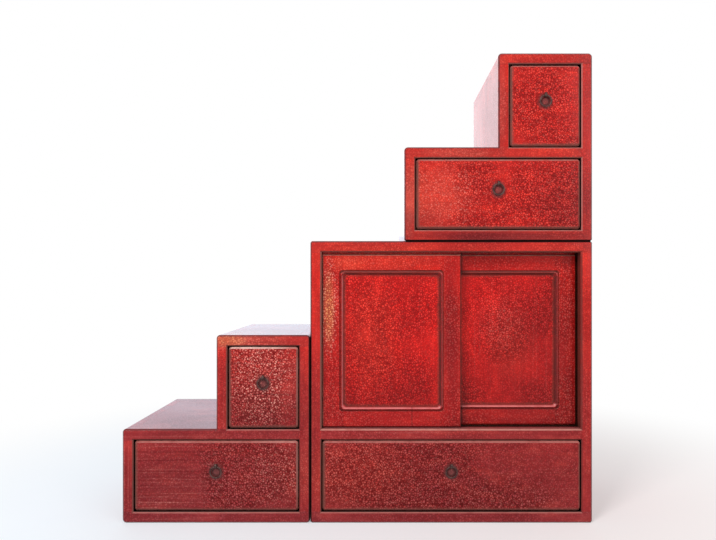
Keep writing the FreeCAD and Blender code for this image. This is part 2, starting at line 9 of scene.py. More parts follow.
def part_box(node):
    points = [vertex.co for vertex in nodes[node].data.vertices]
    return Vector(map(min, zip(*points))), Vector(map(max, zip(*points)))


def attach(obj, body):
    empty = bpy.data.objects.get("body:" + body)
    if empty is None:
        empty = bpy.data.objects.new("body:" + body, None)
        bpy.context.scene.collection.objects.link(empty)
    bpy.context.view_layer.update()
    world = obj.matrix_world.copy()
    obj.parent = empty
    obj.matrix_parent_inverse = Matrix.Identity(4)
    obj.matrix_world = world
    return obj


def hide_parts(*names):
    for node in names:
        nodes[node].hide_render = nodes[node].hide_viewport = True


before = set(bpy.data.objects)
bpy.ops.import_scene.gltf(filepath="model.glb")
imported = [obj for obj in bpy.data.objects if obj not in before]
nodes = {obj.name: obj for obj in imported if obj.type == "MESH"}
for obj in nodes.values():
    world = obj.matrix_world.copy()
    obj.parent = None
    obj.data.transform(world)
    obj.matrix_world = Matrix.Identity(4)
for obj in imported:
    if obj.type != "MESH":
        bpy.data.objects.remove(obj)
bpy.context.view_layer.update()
scene = bpy.context.scene

DRAWERS = ["left_wide", "left_narrow", "cabinet", "upper_wide", "upper_narrow"]
DOORS = ["left", "right"]
FRONT_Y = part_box("cabinet_bottom")[0].y
# The gap round a drawer front, then the doors' panel groove and the mould round their windows
REVEAL = 0.002
PANEL_GROOVE = 0.007
PANEL_CORNER = 0.012
BEAD = 0.008
QUIRK = 0.004
MOULD_CORNER = 0.009


# Node trees


class Tree:
    """Builds a node tree. An input is a socket to link, or a plain value that is set on the input itself."""

    def __init__(self, holder):
        self.nodes = holder.node_tree.nodes
        self.links = holder.node_tree.links
        self.nodes.clear()

    def add(self, kind, inputs, **settings):
        made = self.nodes.new(kind)
        for name, value in settings.items():
            setattr(made, name, value)
        for key, value in inputs.items():
            if isinstance(value, bpy.types.NodeSocket):
                self.links.new(value, made.inputs[key])
            else:
                made.inputs[key].default_value = value
        return made

    def calc(self, operation, *values, clamp=False):
        made = self.add("ShaderNodeMath", dict(enumerate(values)), operation=operation, use_clamp=clamp)
        return made.outputs[0]

    def product(self, *values):
        return self.folded("MULTIPLY", values)

    def least(self, *values):
        return self.folded("MINIMUM", values)

    def most(self, *values):
        return self.folded("MAXIMUM", values)

    def folded(self, operation, values):
        result = values[0]
        for value in values[1:]:
            result = self.calc(operation, result, value)
        return result

    def vector(self, operation, *values):
        made = self.add("ShaderNodeVectorMath", dict(enumerate(values)), operation=operation)
        return made.outputs["Value" if operation in ("LENGTH", "DOT_PRODUCT") else "Vector"]

    def parts(self, vector):
        return self.add("ShaderNodeSeparateXYZ", {0: vector}).outputs

    def ramp(self, value, low, high, start=0.0, end=1.0):
        """Start below low, end above high, and a smooth step between them."""
        inputs = {"Value": value, "From Min": low, "From Max": high, "To Min": start, "To Max": end}
        return self.add("ShaderNodeMapRange", inputs, interpolation_type="SMOOTHSTEP").outputs[0]

    def mix(self, factor, a, b):
        return self.add("ShaderNodeMix", {0: factor, 6: a, 7: b}, data_type="RGBA").outputs[2]

    def noise(self, at, scale, detail=2.0, rough=0.55):
        inputs = {"Vector": at, "Scale": scale, "Detail": detail, "Roughness": rough}
        return self.add("ShaderNodeTexNoise", inputs).outputs["Fac"]


def colour(r, g, b):
    """A linear colour from the values 0 to 255 that it shows as."""
    def linear(value):
        value /= 255
        return value / 12.92 if value <= 0.04045 else ((value + 0.055) / 1.055) ** 2.4
    return (linear(r), linear(g), linear(b), 1.0)


def new_material(name):
    material = bpy.data.materials.new(name)
    material.use_nodes = True
    return material, Tree(material)


# Rectangles on the front, in X and Z


def rectangle(low_x, low_z, high_x, high_z):
    """Its middle and half its width and height."""
    return ((low_x + high_x) / 2, (low_z + high_z) / 2), ((high_x - low_x) / 2, (high_z - low_z) / 2)


def rectangle_of(name, grown=0.0):
    low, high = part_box(name)
    return rectangle(low.x - grown, low.z - grown, high.x + grown, high.z + grown)


def beyond_sides(t, x, z, rectangle_at):
    """How far a point lies past the rectangle's sides, and past its top and bottom."""
    (middle_x, middle_z), (half_x, half_z) = rectangle_at
    across = t.calc("SUBTRACT", t.calc("ABSOLUTE", t.calc("SUBTRACT", x, middle_x)), half_x)
    up = t.calc("SUBTRACT", t.calc("ABSOLUTE", t.calc("SUBTRACT", z, middle_z)), half_z)
    return across, up


def beyond(t, x, z, rectangles):
    """How far a point lies outside the nearest rectangle, less than zero inside one."""
    return t.least(*[t.most(*beyond_sides(t, x, z, rectangle_at)) for rectangle_at in rectangles])


def beyond_window(t, x, z, window):
    """The same for a door's window, where every outline round it has corners of one radius, MOULD_CORNER."""
    across, up = beyond_sides(t, x, z, window)
    apart = t.calc("ABSOLUTE", t.calc("SUBTRACT", across, up))
    near = t.least(apart, MOULD_CORNER)
    bend = t.calc("SQRT", t.calc("SUBTRACT", 2 * MOULD_CORNER ** 2, t.product(near, near)))
    whole = t.calc("ADD", t.calc("ADD", across, up), t.most(apart, MOULD_CORNER))
    return t.product(t.calc("ADD", t.calc("SUBTRACT", whole, bend), MOULD_CORNER), 0.5)


drawer_fronts = [rectangle_of(f"{key}_drawer_front") for key in DRAWERS]
drawer_openings = [rectangle_of(f"{key}_drawer_front", REVEAL) for key in DRAWERS]
door_opening = rectangle(
    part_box("cabinet_left_side")[1].x,
    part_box("cabinet_sill")[1].z,
    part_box("cabinet_right_side")[0].x,
    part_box("cabinet_top")[0].z,
)
windows = {side: rectangle_of(f"{side}_door_panel", -PANEL_GROOVE) for side in DOORS}
pulls = {}
for key in DRAWERS:
    ring_low, ring_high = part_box(f"{key}_drawer_ring")
    pulls[key] = ring_low.lerp(ring_high, 0.5)


# Red lacquer


# The ground of each kind of piece, high on the chest and low on it; the darker low one is partly painted shade
GROUNDS = {
    "frame_x": (colour(197, 43, 35), colour(145, 45, 49)),
    "frame_z": (colour(211, 37, 28), colour(157, 43, 45)),
    "drawer": (colour(207, 35, 28), colour(149, 44, 46)),
    "door": (colour(203, 26, 20), colour(154, 26, 27)),
    "panel": (colour(220, 26, 22), colour(140, 16, 17)),
}
# These three multiply the tone that they cover
CRACKED = (0.33, 0.06, 0.06)
LIFTED = (1.12, 1.9, 1.9)
WARMED = (1.3, 1.7, 1.4)
DEEP = colour(112, 12, 16)
WARM = colour(230, 78, 54)
DIM = colour(96, 20, 26)
STREAK = colour(184, 96, 88)
SPECK = colour(244, 164, 148)
GOLD = colour(222, 142, 84)
# Rubbed edge colours: the light ones carry painted light, the dark ones painted shade
LIT_WORN_EDGE = colour(176, 106, 98)
PALE_LIT_WORN_EDGE = colour(244, 202, 190)
LIT_WORN_SILL_EDGE = colour(198, 136, 124)
LIT_WORN_DOOR_EDGE = colour(214, 148, 130)
SHADED_WORN_EDGE = colour(114, 44, 40)
DULL_EDGE = colour(116, 70, 62)
OUTER_EDGE = colour(98, 48, 48)
# The mould round a door's window: painted shade where it turns down, painted light where it turns up
MOULD_SHADE = colour(88, 26, 24)
MOULD_FOOT = colour(150, 44, 44)
MOULD_LIT = colour(214, 116, 114)
LIT_LEDGE = colour(150, 84, 84)
DRAWER_SIDE = colour(84, 52, 38)
HANDLED = colour(110, 60, 58)
RING_SHADE = colour(50, 20, 20)
# Painted shade: brown on faces turned from the light and in recesses, near black deep in gaps and joints and
# along the split
SHADE_BROWN = colour(96, 50, 42)
SHADE_AND_SPLIT_BLACK = colour(14, 6, 5)

# Cells to the metre, how far their edges wander, and how much stronger glints are on the palest spots
CELLS = 185.0
WANDER = 0.005
GLINT_GAIN = 8
# The scale of the streaks and of the mottling along X, Y and Z, for each direction of the grain
GRAIN_STRETCH = {"x": (3.0, 60.0, 280.0), "z": (280.0, 60.0, 3.0)}
MOTTLE_STRETCH = {"x": (9.0, 20.0, 34.0), "z": (34.0, 20.0, 9.0)}
# How far every spot reaches along Y
SPOT_DEPTH = 0.25
# Each spot: its middle, then its reach, along X and Z on the front, and how strong it is
# Warmer, lighter spots: partly the lacquer's uneven tone, partly painted light where the chest is lit more
WARM_AND_LIT_SPOTS = [
    ((0.19, 0.87), (0.15, 0.12), 0.6),
    ((0.14, 0.88), (0.06, 0.16), 0.3),
    ((0.05, 0.70), (0.24, 0.05), 0.5),
    ((0.04, 0.50), (0.10, 0.20), 0.4),
    ((-0.31, 0.485), (0.14, 0.03), 0.6),
    ((0.42, 0.46), (0.09, 0.12), 0.3),
    ((-0.02, 0.13), (0.24, 0.13), 0.4),
    ((-0.03, 0.69), (0.07, 0.03), 0.5),
    ((0.27, 0.985), (0.12, 0.025), 0.3),
]
# Dimmer spots: partly the lacquer's uneven tone, partly painted shade, as on the right-hand posts and under the
# upper unit
DIM_AND_SHADED_SPOTS = [
    ((0.62, 1.00), (0.06, 0.45), 0.35),
    ((0.375, 0.762), (0.32, 0.022), 0.75),
    ((0.56, 0.85), (0.12, 0.12), 0.3),
    ((0.47, 0.45), (0.20, 0.32), 0.3),
    ((-0.14, 0.30), (0.06, 0.24), 0.35),
    ((-0.47, 0.235), (0.22, 0.03), 0.25),
    ((0.25, 0.50), (0.035, 0.26), 0.55),
    ((-0.25, 0.29), (0.16, 0.08), 0.35),
    ((-0.36, 0.36), (0.03, 0.16), 0.2),
    ((-0.50, 0.12), (0.16, 0.14), 0.35),
    ((0.15, 0.80), (0.12, 0.05), 0.35),
    ((0.384, 1.11), (0.03, 0.20), 0.3),
    ((0.138, 0.87), (0.03, 0.16), 0.25),
]
CRACKLED_SPOTS = [
    ((-0.30, 0.36), (0.14, 0.18), 0.35),
    ((-0.33, 0.48), (0.08, 0.04), 0.4),
    ((-0.077, 0.57), (0.03, 0.16), 0.6),
    ((0.02, 0.38), (0.18, 0.12), 0.2),
    ((0.50, 0.86), (0.18, 0.12), 0.25),
    ((0.49, 1.10), (0.12, 0.14), 0.2),
    ((-0.30, 0.13), (0.16, 0.12), 0.25),
    ((0.05, 0.14), (0.26, 0.12), 0.2),
    ((0.40, 0.50), (0.09, 0.12), 0.25),
]
SMOOTH_SPOTS = [
    ((0.19, 0.87), (0.10, 0.14), 0.3),
    ((-0.51, 0.13), (0.13, 0.14), 0.3),
    ((0.52, 0.12), (0.14, 0.12), 0.2),
]
GOLD_SPOTS = [
    ((-0.077, 0.57), (0.02, 0.13), 1.0),
    ((-0.34, 0.485), (0.06, 0.025), 0.9),
]
PALE_SPOTS = [
    ((0.27, 0.985), (0.14, 0.02), 0.6),
    ((0.384, 1.11), (0.02, 0.16), 0.8),
    ((0.138, 0.86), (0.02, 0.15), 0.7),
    ((0.22, 0.87), (0.14, 0.11), 0.35),
    ((-0.25, 0.39), (0.12, 0.17), 0.8),
    ((0.39, 0.53), (0.09, 0.10), 0.3),
    ((-0.33, 0.485), (0.09, 0.035), 0.9),
    ((-0.077, 0.57), (0.03, 0.16), 0.9),
    ((-0.20, 0.14), (0.12, 0.12), 0.25),
]
STREAKED_SPOTS = [
    ((-0.47, 0.13), (0.24, 0.16), 1.1),
    ((-0.25, 0.38), (0.16, 0.16), 0.9),
    ((0.50, 0.82), (0.16, 0.06), 0.4),
    ((0.30, 0.10), (0.36, 0.09), 0.4),
    ((0.10, 0.24), (0.50, 0.03), 0.3),
]


class Lacquer:
    """Old red lacquer, built up in layers over its ground colour."""

    def __init__(self, name, grain, kind):
        self.material, self.t = new_material(name)
        t = self.t
        coords = t.add("ShaderNodeTexCoord", {})
        self.at = coords.outputs["Object"]
        self.x, self.y, self.z = t.parts(self.at)
        self.normal = coords.outputs["Normal"]
        _, self.normal_y, self.normal_z = t.parts(self.normal)
        self.facing = t.calc("MULTIPLY", self.normal_y, -1.0, clamp=True)
        self.depth = t.calc("SUBTRACT", self.y, FRONT_Y)
        self.broad = t.noise(self.at, 3.2, 3.0)
        self.along = t.vector("MULTIPLY", self.at, GRAIN_STRETCH[grain])
        self.mottled = t.vector("MULTIPLY", self.at, MOTTLE_STRETCH[grain])
        self.ground(*GROUNDS[kind])
        self.streaks()

    def cover(self, factor, tone):
        self.tone = self.t.mix(factor, self.tone, tone)

    def spots(self, places):
        """The sum of these spots, each fading from near its middle to its reach."""
        t = self.t
        total = 0.0
        for (middle_x, middle_z), (reach_x, reach_z), amount in places:
            offset = t.vector("SUBTRACT", self.at, (middle_x, FRONT_Y, middle_z))
            scaled = t.vector("DIVIDE", offset, (reach_x, SPOT_DEPTH, reach_z))
            total = t.calc("ADD", total, t.ramp(t.vector("LENGTH", scaled), 1.0, 0.25, 0.0, amount))
        return total

    def ground(self, high, low):
        """Darker and duller lower down, partly painted shade; uneven, with warm spots partly painted light, dim
        ones partly painted shade.
        """
        t = self.t
        self.tone = t.mix(t.ramp(self.z, 0.0, 0.7), low, high)
        self.cover(t.ramp(self.broad, 0.36, 0.66, 0.0, 0.25), DEEP)
        mottled = t.ramp(t.noise(self.mottled, 1.0, 3.0, 0.6), 0.46, 0.68, 0.0, 0.9)
        self.cover(mottled, t.vector("MULTIPLY", self.tone, WARMED))
        self.cover(self.spots(WARM_AND_LIT_SPOTS), t.mix(0.5, self.tone, WARM))
        self.cover(self.spots(DIM_AND_SHADED_SPOTS), DIM)

    def streaks(self):
        """Fine dark and pale lines along the grain, stronger in places."""
        t = self.t
        self.streak = t.noise(self.along, 1.0, 3.0, 0.6)
        strength = t.calc("ADD", self.spots(STREAKED_SPOTS), 0.3)
        self.cover(t.product(t.ramp(self.streak, 0.5, 0.7, 0.0, 0.55), strength), DEEP)
        self.cover(t.product(t.ramp(self.streak, 0.44, 0.28, 0.0, 0.5), strength), STREAK)

    def crackle(self, amount, pale=0.12):
        """Small raised cells with dark lines between them and pale glints on some, stronger in patches."""
        t = self.t
        wavy = {"Vector": self.at, "Scale": 110.0, "Detail": 1.0}
        wander = t.add("ShaderNodeTexNoise", wavy).outputs["Color"]
        centred = t.vector("SUBTRACT", wander, (0.5, 0.5, 0.5))
        shift = t.vector("MULTIPLY", centred, (WANDER, WANDER, WANDER))
        cells = {"Vector": t.vector("ADD", self.at, shift), "Scale": CELLS}
        edge = t.add("ShaderNodeTexVoronoi", cells, feature="DISTANCE_TO_EDGE").outputs["Distance"]
        cell = t.add("ShaderNodeTexVoronoi", cells, feature="F1")
        chance, luck = t.parts(cell.outputs["Color"])[:2]
        patchy = t.calc("ADD", t.noise(self.at, 6.0, 2.0, 0.6), self.spots(CRACKLED_SPOTS))
        patchy = t.calc("SUBTRACT", patchy, self.spots(SMOOTH_SPOTS))
        where = t.ramp(patchy, 0.32, 0.6, amount * 0.5, amount)
        gold = self.spots(GOLD_SPOTS)
        self.paler = self.spots(PALE_SPOTS)
        self.cover(t.product(gold, 0.35), GOLD)
        self.cover(t.product(self.paler, 0.1), SPECK)
        cracked = t.vector("MULTIPLY", self.tone, CRACKED)
        lifted = t.vector("MULTIPLY", self.tone, LIFTED)
        self.cover(t.product(t.ramp(chance, 0.3, 1.0), where), lifted)
        dark = t.product(t.most(t.ramp(edge, 0.2, 0.05), t.ramp(chance, 0.35, 0.1, 0.0, 0.7)), where)
        self.cover(dark, cracked)
        glint = t.product(t.ramp(cell.outputs["Distance"], 0.5, 0.2), t.ramp(luck, 0.1, 0.55), where)
        strength = t.calc("ADD", t.most(t.product(self.paler, pale * GLINT_GAIN), gold), pale)
        self.cover(t.product(glint, strength), t.mix(gold, SPECK, GOLD))
        self.dome = t.product(t.ramp(edge, 0.0, 0.3), where)
        self.matt = t.product(dark, 0.25)

    def slanted(self):
        """One on the slanted faces of the eased front edges, where the finish is rubbed and where the callers
        paint edge light and shade.
        """
        t = self.t
        slant = t.product(self.facing, t.calc("SUBTRACT", 1.0, self.facing), 4.0)
        rubbed = t.ramp(t.noise(self.at, 38.0, 3.0, 0.7), 0.25, 0.6, 0.55, 0.95)
        return t.product(t.ramp(slant, 0.25, 0.8), rubbed)

    def turned(self, way):
        """One where a slanted face is turned towards this way, and zero where it is turned from it; it places
        painted edge light and shade.
        """
        return self.t.ramp(self.t.vector("DOT_PRODUCT", self.normal, way), -0.15, 0.35)

    def finish(self):
        t = self.t
        relief = t.calc("ADD", t.product(self.dome, 0.55), t.product(self.streak, 0.12))
        relief = t.calc("ADD", relief, t.product(t.noise(self.at, 25.0, 2.0), 0.5))
        bump = t.add("ShaderNodeBump", {"Height": relief, "Distance": 0.0012, "Strength": 0.55})
        rough = t.calc("ADD", t.ramp(self.broad, 0.3, 0.7, 0.26, 0.42), self.matt)
        shader = t.add("ShaderNodeBsdfPrincipled", {
            "Base Color": self.tone, "Roughness": rough, "Normal": bump.outputs["Normal"],
            "Specular IOR Level": 0.05, "Coat Weight": 1.0, "Coat Roughness": 0.14, "Coat IOR": 1.21,
        })
        t.add("ShaderNodeOutputMaterial", {"Surface": shader.outputs[0]})
        return self.material


# How far from an opening its edge's rubbed, painted lit and shaded colour fades out, and where the surfaces
# inside it begin
EDGE_FADE = (0.006, 0.010)
INSIDE_FADE = (0.0016, 0.0006)


def frame_lacquer(name, grain):
    """Carcase boards: rubbed edges round the openings with painted light and shade, painted shade in the gaps,
    bare wood inside and behind.
    """
    coat = Lacquer(name, grain, f"frame_{grain}")
    coat.crackle(amount=0.55, pale=0.02)
    t = coat.t
    gap = beyond(t, coat.x, coat.z, drawer_openings)
    doorway = beyond(t, coat.x, coat.z, [door_opening])
    # Opening edges: painted light where they turn up, painted shade where they turn down, and on left-facing
    # ones light high up, shade low down
    lower = t.mix(t.ramp(doorway, *EDGE_FADE), LIT_WORN_SILL_EDGE, LIT_WORN_EDGE)
    right = t.mix(t.ramp(coat.z, 0.70, 0.78), SHADED_WORN_EDGE, LIT_WORN_EDGE)
    opening_edge = t.mix(coat.turned((0.0, 0.0, 0.7)), SHADE_BROWN, lower)
    opening_edge = t.mix(coat.turned((-0.7, 0.0, 0.0)), opening_edge, right)
    edge_wear_light_and_shade = t.mix(t.ramp(t.least(gap, doorway), *EDGE_FADE), opening_edge, OUTER_EDGE)
    coat.cover(coat.slanted(), edge_wear_light_and_shade)

    inside_drawers = t.product(t.ramp(gap, *INSIDE_FADE), t.ramp(coat.depth, 0.0012, 0.003))
    inside_doorway = t.product(t.ramp(doorway, *INSIDE_FADE), t.ramp(coat.depth, 0.004, 0.008))
    upward = t.ramp(coat.normal_z, 0.4, 0.8)
    # Inside the doorway: painted light on upward faces, painted shade on the others; deeper in, and in drawer
    # gaps, near-black painted shade
    coat.cover(inside_doorway, t.mix(upward, SHADE_BROWN, LIT_LEDGE))
    deep_painted_shade = t.most(inside_drawers, t.product(inside_doorway, t.ramp(coat.depth, 0.022, 0.034)))
    coat.cover(deep_painted_shade, SHADE_AND_SPLIT_BLACK)
    # Near-black painted shade in the joints between the units
    coat.cover(t.product(seams(coat), 0.95), SHADE_AND_SPLIT_BLACK)

    inside = t.product(t.most(inside_drawers, inside_doorway), t.ramp(coat.depth, 0.035, 0.07))
    bare = t.most(inside, t.ramp(coat.normal_y, 0.5, 0.7))
    wood = t.mix(t.noise(coat.along, 0.6, 4.0, 0.6), colour(96, 66, 44), colour(140, 104, 72))
    coat.cover(bare, wood)
    coat.matt = t.most(coat.matt, t.product(bare, 0.4))
    return coat.finish()


SEAM_HALF = 0.0045
SEAM_CORE = 0.002


def seams(coat):
    """Where painted shade goes in the joints between the left unit and the cabinet and under the upper unit."""
    t = coat.t
    upright_x = (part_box("left_unit_bottom")[1].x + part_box("cabinet_bottom")[0].x) / 2
    upright_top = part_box("left_unit_top")[1].z
    level_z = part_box("cabinet_top")[1].z
    level_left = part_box("upper_unit_bottom")[0].x
    across = t.calc("ABSOLUTE", t.calc("SUBTRACT", coat.x, upright_x))
    up = t.calc("ABSOLUTE", t.calc("SUBTRACT", coat.z, level_z))
    below_top = t.ramp(coat.z, upright_top, upright_top - SEAM_HALF)
    past_left = t.ramp(coat.x, level_left, level_left + SEAM_HALF)
    upright = t.product(t.ramp(across, SEAM_HALF, SEAM_CORE), below_top)
    level = t.product(t.ramp(up, SEAM_HALF, SEAM_CORE), past_left)
    return t.most(upright, level)


BAND_SHIFT = 0.006
# From a ring's middle: where its handled patch fades out, and its bar's shade outwards and inwards
HANDLED_FADE = (0.027, 0.016)
SHADE_FADE_OUT = (0.017, 0.014)
SHADE_FADE_IN = (0.009, 0.012)


def drawer_lacquer(name):
    """Drawer fronts: rubbed edges painted lit at top and right and painted shaded and dull at left and below;
    dark behind the ring pulls.
    """
    coat = Lacquer(name, "x", "drawer")
    coat.crackle(amount=1.0)
    t = coat.t
    # Rubbed edges, painted light where they turn up and painted shade where they turn down or left
    light = t.mix(coat.paler, LIT_WORN_EDGE, PALE_LIT_WORN_EDGE)
    coat.cover(coat.slanted(), t.mix(coat.turned((0.12, 0.0, 0.9)), DULL_EDGE, light))

    # A dull brown band along the left and lower edges
    moved = []
    for (x, z), (half_x, half_z) in drawer_fronts:
        moved.append(((x + BAND_SHIFT, z + BAND_SHIFT), (half_x + BAND_SHIFT, half_z + BAND_SHIFT)))
    inward = t.product(beyond(t, coat.x, coat.z, moved), -1.0)
    uneven = t.product(t.noise(coat.at, 45.0, 2.0), -0.006)
    coat.cover(t.ramp(t.calc("ADD", inward, uneven), 0.008, 0.002, 0.0, 0.5), DULL_EDGE)
    # The front's side faces: near-black painted shade in the gap at the face, brown end grain deeper in
    ends = t.mix(t.ramp(coat.depth, 0.003, 0.007), SHADE_AND_SPLIT_BLACK, DRAWER_SIDE)
    coat.cover(t.ramp(coat.facing, 0.5, 0.2), ends)

    near = []
    for pull in pulls.values():
        offset = t.vector("SUBTRACT", coat.at, tuple(pull))
        near.append(t.vector("LENGTH", t.vector("MULTIPLY", offset, (1.0, 0.0, 0.9))))
    reach = t.calc("ADD", t.least(*near), t.product(t.noise(coat.at, 90.0), 0.006))
    coat.cover(t.ramp(reach, *HANDLED_FADE, 0.0, 0.75), HANDLED)
    under_ring = t.product(t.ramp(reach, *SHADE_FADE_OUT, 0.0, 0.6), t.ramp(reach, *SHADE_FADE_IN))
    coat.cover(under_ring, RING_SHADE)
    return coat.finish()


SPLIT_X = 0.146
SPLIT_HALF = 0.0018


def door_lacquer(name, side, grain, crackled):
    """Stiles and rails: a mould painted shaded above and lit below, painted shade in gaps, and a split in the
    left door's lower rail.
    """
    coat = Lacquer(name, grain, "door")
    coat.crackle(crackled)
    t = coat.t
    window = beyond_window(t, coat.x, coat.z, windows[side])
    on_mould = t.ramp(window, BEAD + QUIRK, BEAD + QUIRK - 0.001)
    # Painted light on the mould where it turns up, shade where it turns down; door edges painted lit turning up
    # and left, shaded elsewhere
    lit = t.mix(t.ramp(window, 0.001, 0.003), MOULD_FOOT, MOULD_LIT)
    mould = t.mix(coat.turned((0.18, 0.0, 0.9)), MOULD_SHADE, lit)
    rim = t.mix(coat.turned((-0.7, 0.0, 0.7)), SHADED_WORN_EDGE, LIT_WORN_DOOR_EDGE)
    coat.cover(coat.slanted(), t.mix(on_mould, rim, mould))
    quirk = t.product(t.ramp(window, BEAD - 0.0005, BEAD + 0.0005), on_mould)
    (_, middle_z), (_, half_z) = windows[side]
    window_foot, window_head = middle_z - half_z, middle_z + half_z
    below = t.ramp(coat.z, window_foot, window_foot - BEAD, 0.15, 0.55)
    above = t.ramp(coat.z, window_head, window_head + BEAD, 0.0, 0.65)
    # Painted shade on the mould above the window, and near-black painted shade in the quirk, darker under the
    # window
    coat.cover(t.product(on_mould, above), SHADE_BROWN)
    coat.cover(t.product(quirk, below), SHADE_AND_SPLIT_BLACK)
    # Painted shade on the faces turned away from the front
    coat.cover(t.ramp(coat.facing, 0.25, 0.05, 0.0, 0.8), SHADE_BROWN)
    if side == "left" and grain == "x":
        away = t.calc("ABSOLUTE", t.calc("SUBTRACT", coat.x, SPLIT_X))
        low = t.ramp(coat.z, middle_z, window_foot)
        coat.cover(t.product(t.ramp(away, SPLIT_HALF, 0.0, 0.0, 0.7), low), SHADE_AND_SPLIT_BLACK)
    # A painted shadow of the front door's edge on the rear door
    if side == "right":
        past = t.calc("SUBTRACT", coat.x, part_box("left_door_right_stile")[1].x)
        coat.cover(t.ramp(past, 0.011, 0.006, 0.0, 0.6), SHADE_AND_SPLIT_BLACK)
    return coat.finish()


def panel_lacquer(name, side):
    """A door's panel, grimy and painted shaded along its edges."""
    coat = Lacquer(name, "z", "panel")
    coat.crackle(amount=0.9, pale=0.05)
    t = coat.t
    inward = t.product(beyond_window(t, coat.x, coat.z, windows[side]), -1.0)
    # Grime and painted shade along the panel's edges, where it meets the mould
    grime_and_shade = t.calc("ADD", inward, t.product(t.noise(coat.at, 30.0, 3.0), -0.008))
    coat.cover(t.ramp(grime_and_shade, 0.004, -0.003, 0.0, 0.55), SHADE_BROWN)
    return coat.finish()


# Bare wood and iron


def bare_wood(name, grain):
    """Planed softwood gone brown with age, with its grain along one axis."""
    material, t = new_material(name)
    at = t.add("ShaderNodeTexCoord", {}).outputs["Object"]
    stretch = {"x": (1.0, 14.0, 14.0), "y": (14.0, 1.0, 14.0), "z": (14.0, 14.0, 1.0)}[grain]
    along = t.vector("MULTIPLY", at, stretch)
    bend = t.noise(along, 1.1, 3.0)
    rings = t.ramp(t.calc("SINE", t.product(bend, 62.0)), -0.6, 1.0)
    fine = t.noise(t.vector("MULTIPLY", along, (12.0, 12.0, 12.0)), 1.0, 4.0, 0.65)
    tone = t.mix(t.product(rings, 0.5), colour(176, 138, 98), colour(132, 92, 58))
    tone = t.mix(t.ramp(fine, 0.5, 0.75, 0.0, 0.5), tone, colour(94, 62, 40))
    stain = t.ramp(t.noise(at, 4.0, 4.0), 0.5, 0.75, 0.0, 0.45)
    tone = t.mix(stain, tone, colour(88, 66, 50))
    relief = t.calc("ADD", t.product(rings, 0.4), fine)
    bump = t.add("ShaderNodeBump", {"Height": relief, "Distance": 0.0006, "Strength": 0.5})
    shader = t.add("ShaderNodeBsdfPrincipled", {
        "Base Color": tone, "Roughness": t.ramp(fine, 0.2, 0.8, 0.6, 0.82), "Normal": bump.outputs["Normal"],
        "Specular IOR Level": 0.3,
    })
    t.add("ShaderNodeOutputMaterial", {"Surface": shader.outputs[0]})
    return material


def forged_iron(name):
    """Brown iron, hammered, with rust in patches, and rougher where it is rusty."""
    material, t = new_material(name)
    at = t.add("ShaderNodeTexCoord", {}).outputs["Object"]
    hammered = t.noise(at, 320.0, 3.0, 0.6)
    rust = t.ramp(t.noise(at, 140.0, 3.0, 0.7), 0.42, 0.62)
    tone = t.mix(rust, colour(84, 54, 48), colour(52, 26, 22))
    bump = t.add("ShaderNodeBump", {"Height": hammered, "Distance": 0.0006, "Strength": 0.7})
    shader = t.add("ShaderNodeBsdfPrincipled", {
        "Base Color": tone, "Roughness": t.ramp(rust, 0.0, 1.0, 0.42, 0.7), "Normal": bump.outputs["Normal"],
        "Metallic": 0.3,
    })
    t.add("ShaderNodeOutputMaterial", {"Surface": shader.outputs[0]})
    return material


MATERIALS = {
    "frame_x": frame_lacquer("frame_lacquer_level", "x"),
    "frame_z": frame_lacquer("frame_lacquer_upright", "z"),
    "drawer": drawer_lacquer("drawer_lacquer"),
    "wood_x": bare_wood("bare_wood_level", "x"),
    "wood_y": bare_wood("bare_wood_deep", "y"),
    "wood_z": bare_wood("bare_wood_upright", "z"),
    "iron": forged_iron("forged_iron"),
}
for side in DOORS:
    MATERIALS[f"{side}_rail"] = door_lacquer(f"{side}_door_lacquer_level", side, "x", crackled=0.55)
    MATERIALS[f"{side}_stile"] = door_lacquer(f"{side}_door_lacquer_upright", side, "z", crackled=0.75)
    MATERIALS[f"{side}_panel"] = panel_lacquer(f"{side}_door_panel_lacquer", side)
ENDINGS = [
    ("_drawer_front", "drawer"), ("_drawer_sides", "wood_y"), ("_drawer_back", "wood_x"),
    ("_drawer_bottom", "wood_x"), ("_split_pin", "iron"), ("_ring", "iron"), ("_back", "wood_z"),
    ("_outer_side", "frame_z"), ("_inner_side", "frame_z"), ("_riser", "frame_z"),
    ("cabinet_left_side", "frame_z"), ("cabinet_right_side", "frame_z"),
]


def material_for(node_name):
    for side in DOORS:
        if node_name.startswith(f"{side}_door_"):
            return MATERIALS[f"{side}_{node_name.rsplit('_', 1)[1]}"]
    for ending, key in ENDINGS:
        if node_name.endswith(ending):
            return MATERIALS[key]
    return MATERIALS["frame_x"]


# Softened edges for the CAD pieces


def smooth_group():
    group = bpy.data.node_groups.new("shade_smooth", "GeometryNodeTree")
    group.interface.new_socket("Geometry", in_out="INPUT", socket_type="NodeSocketGeometry")
    group.interface.new_socket("Geometry", in_out="OUTPUT", socket_type="NodeSocketGeometry")
    start = group.nodes.new("NodeGroupInput")
    smooth = group.nodes.new("GeometryNodeSetShadeSmooth")
    end = group.nodes.new("NodeGroupOutput")
    group.links.new(start.outputs[0], smooth.inputs["Geometry"])
    group.links.new(smooth.outputs[0], end.inputs[0])
    return group


SMOOTH = smooth_group()
WELD_REACH = 0.00001
FLAT_ANGLE = math.radians(0.5)
EASED_ANGLE = math.radians(25)
EASE = 0.0009
BOARD_EASE = 0.0004


def round_edges(thing, width, sharper_than):
    ease = thing.modifiers.new("ease", "BEVEL")
    ease.width = width
    ease.segments = 2
    ease.limit_method = "ANGLE"
    ease.angle_limit = sharper_than
    ease.use_clamp_overlap = True


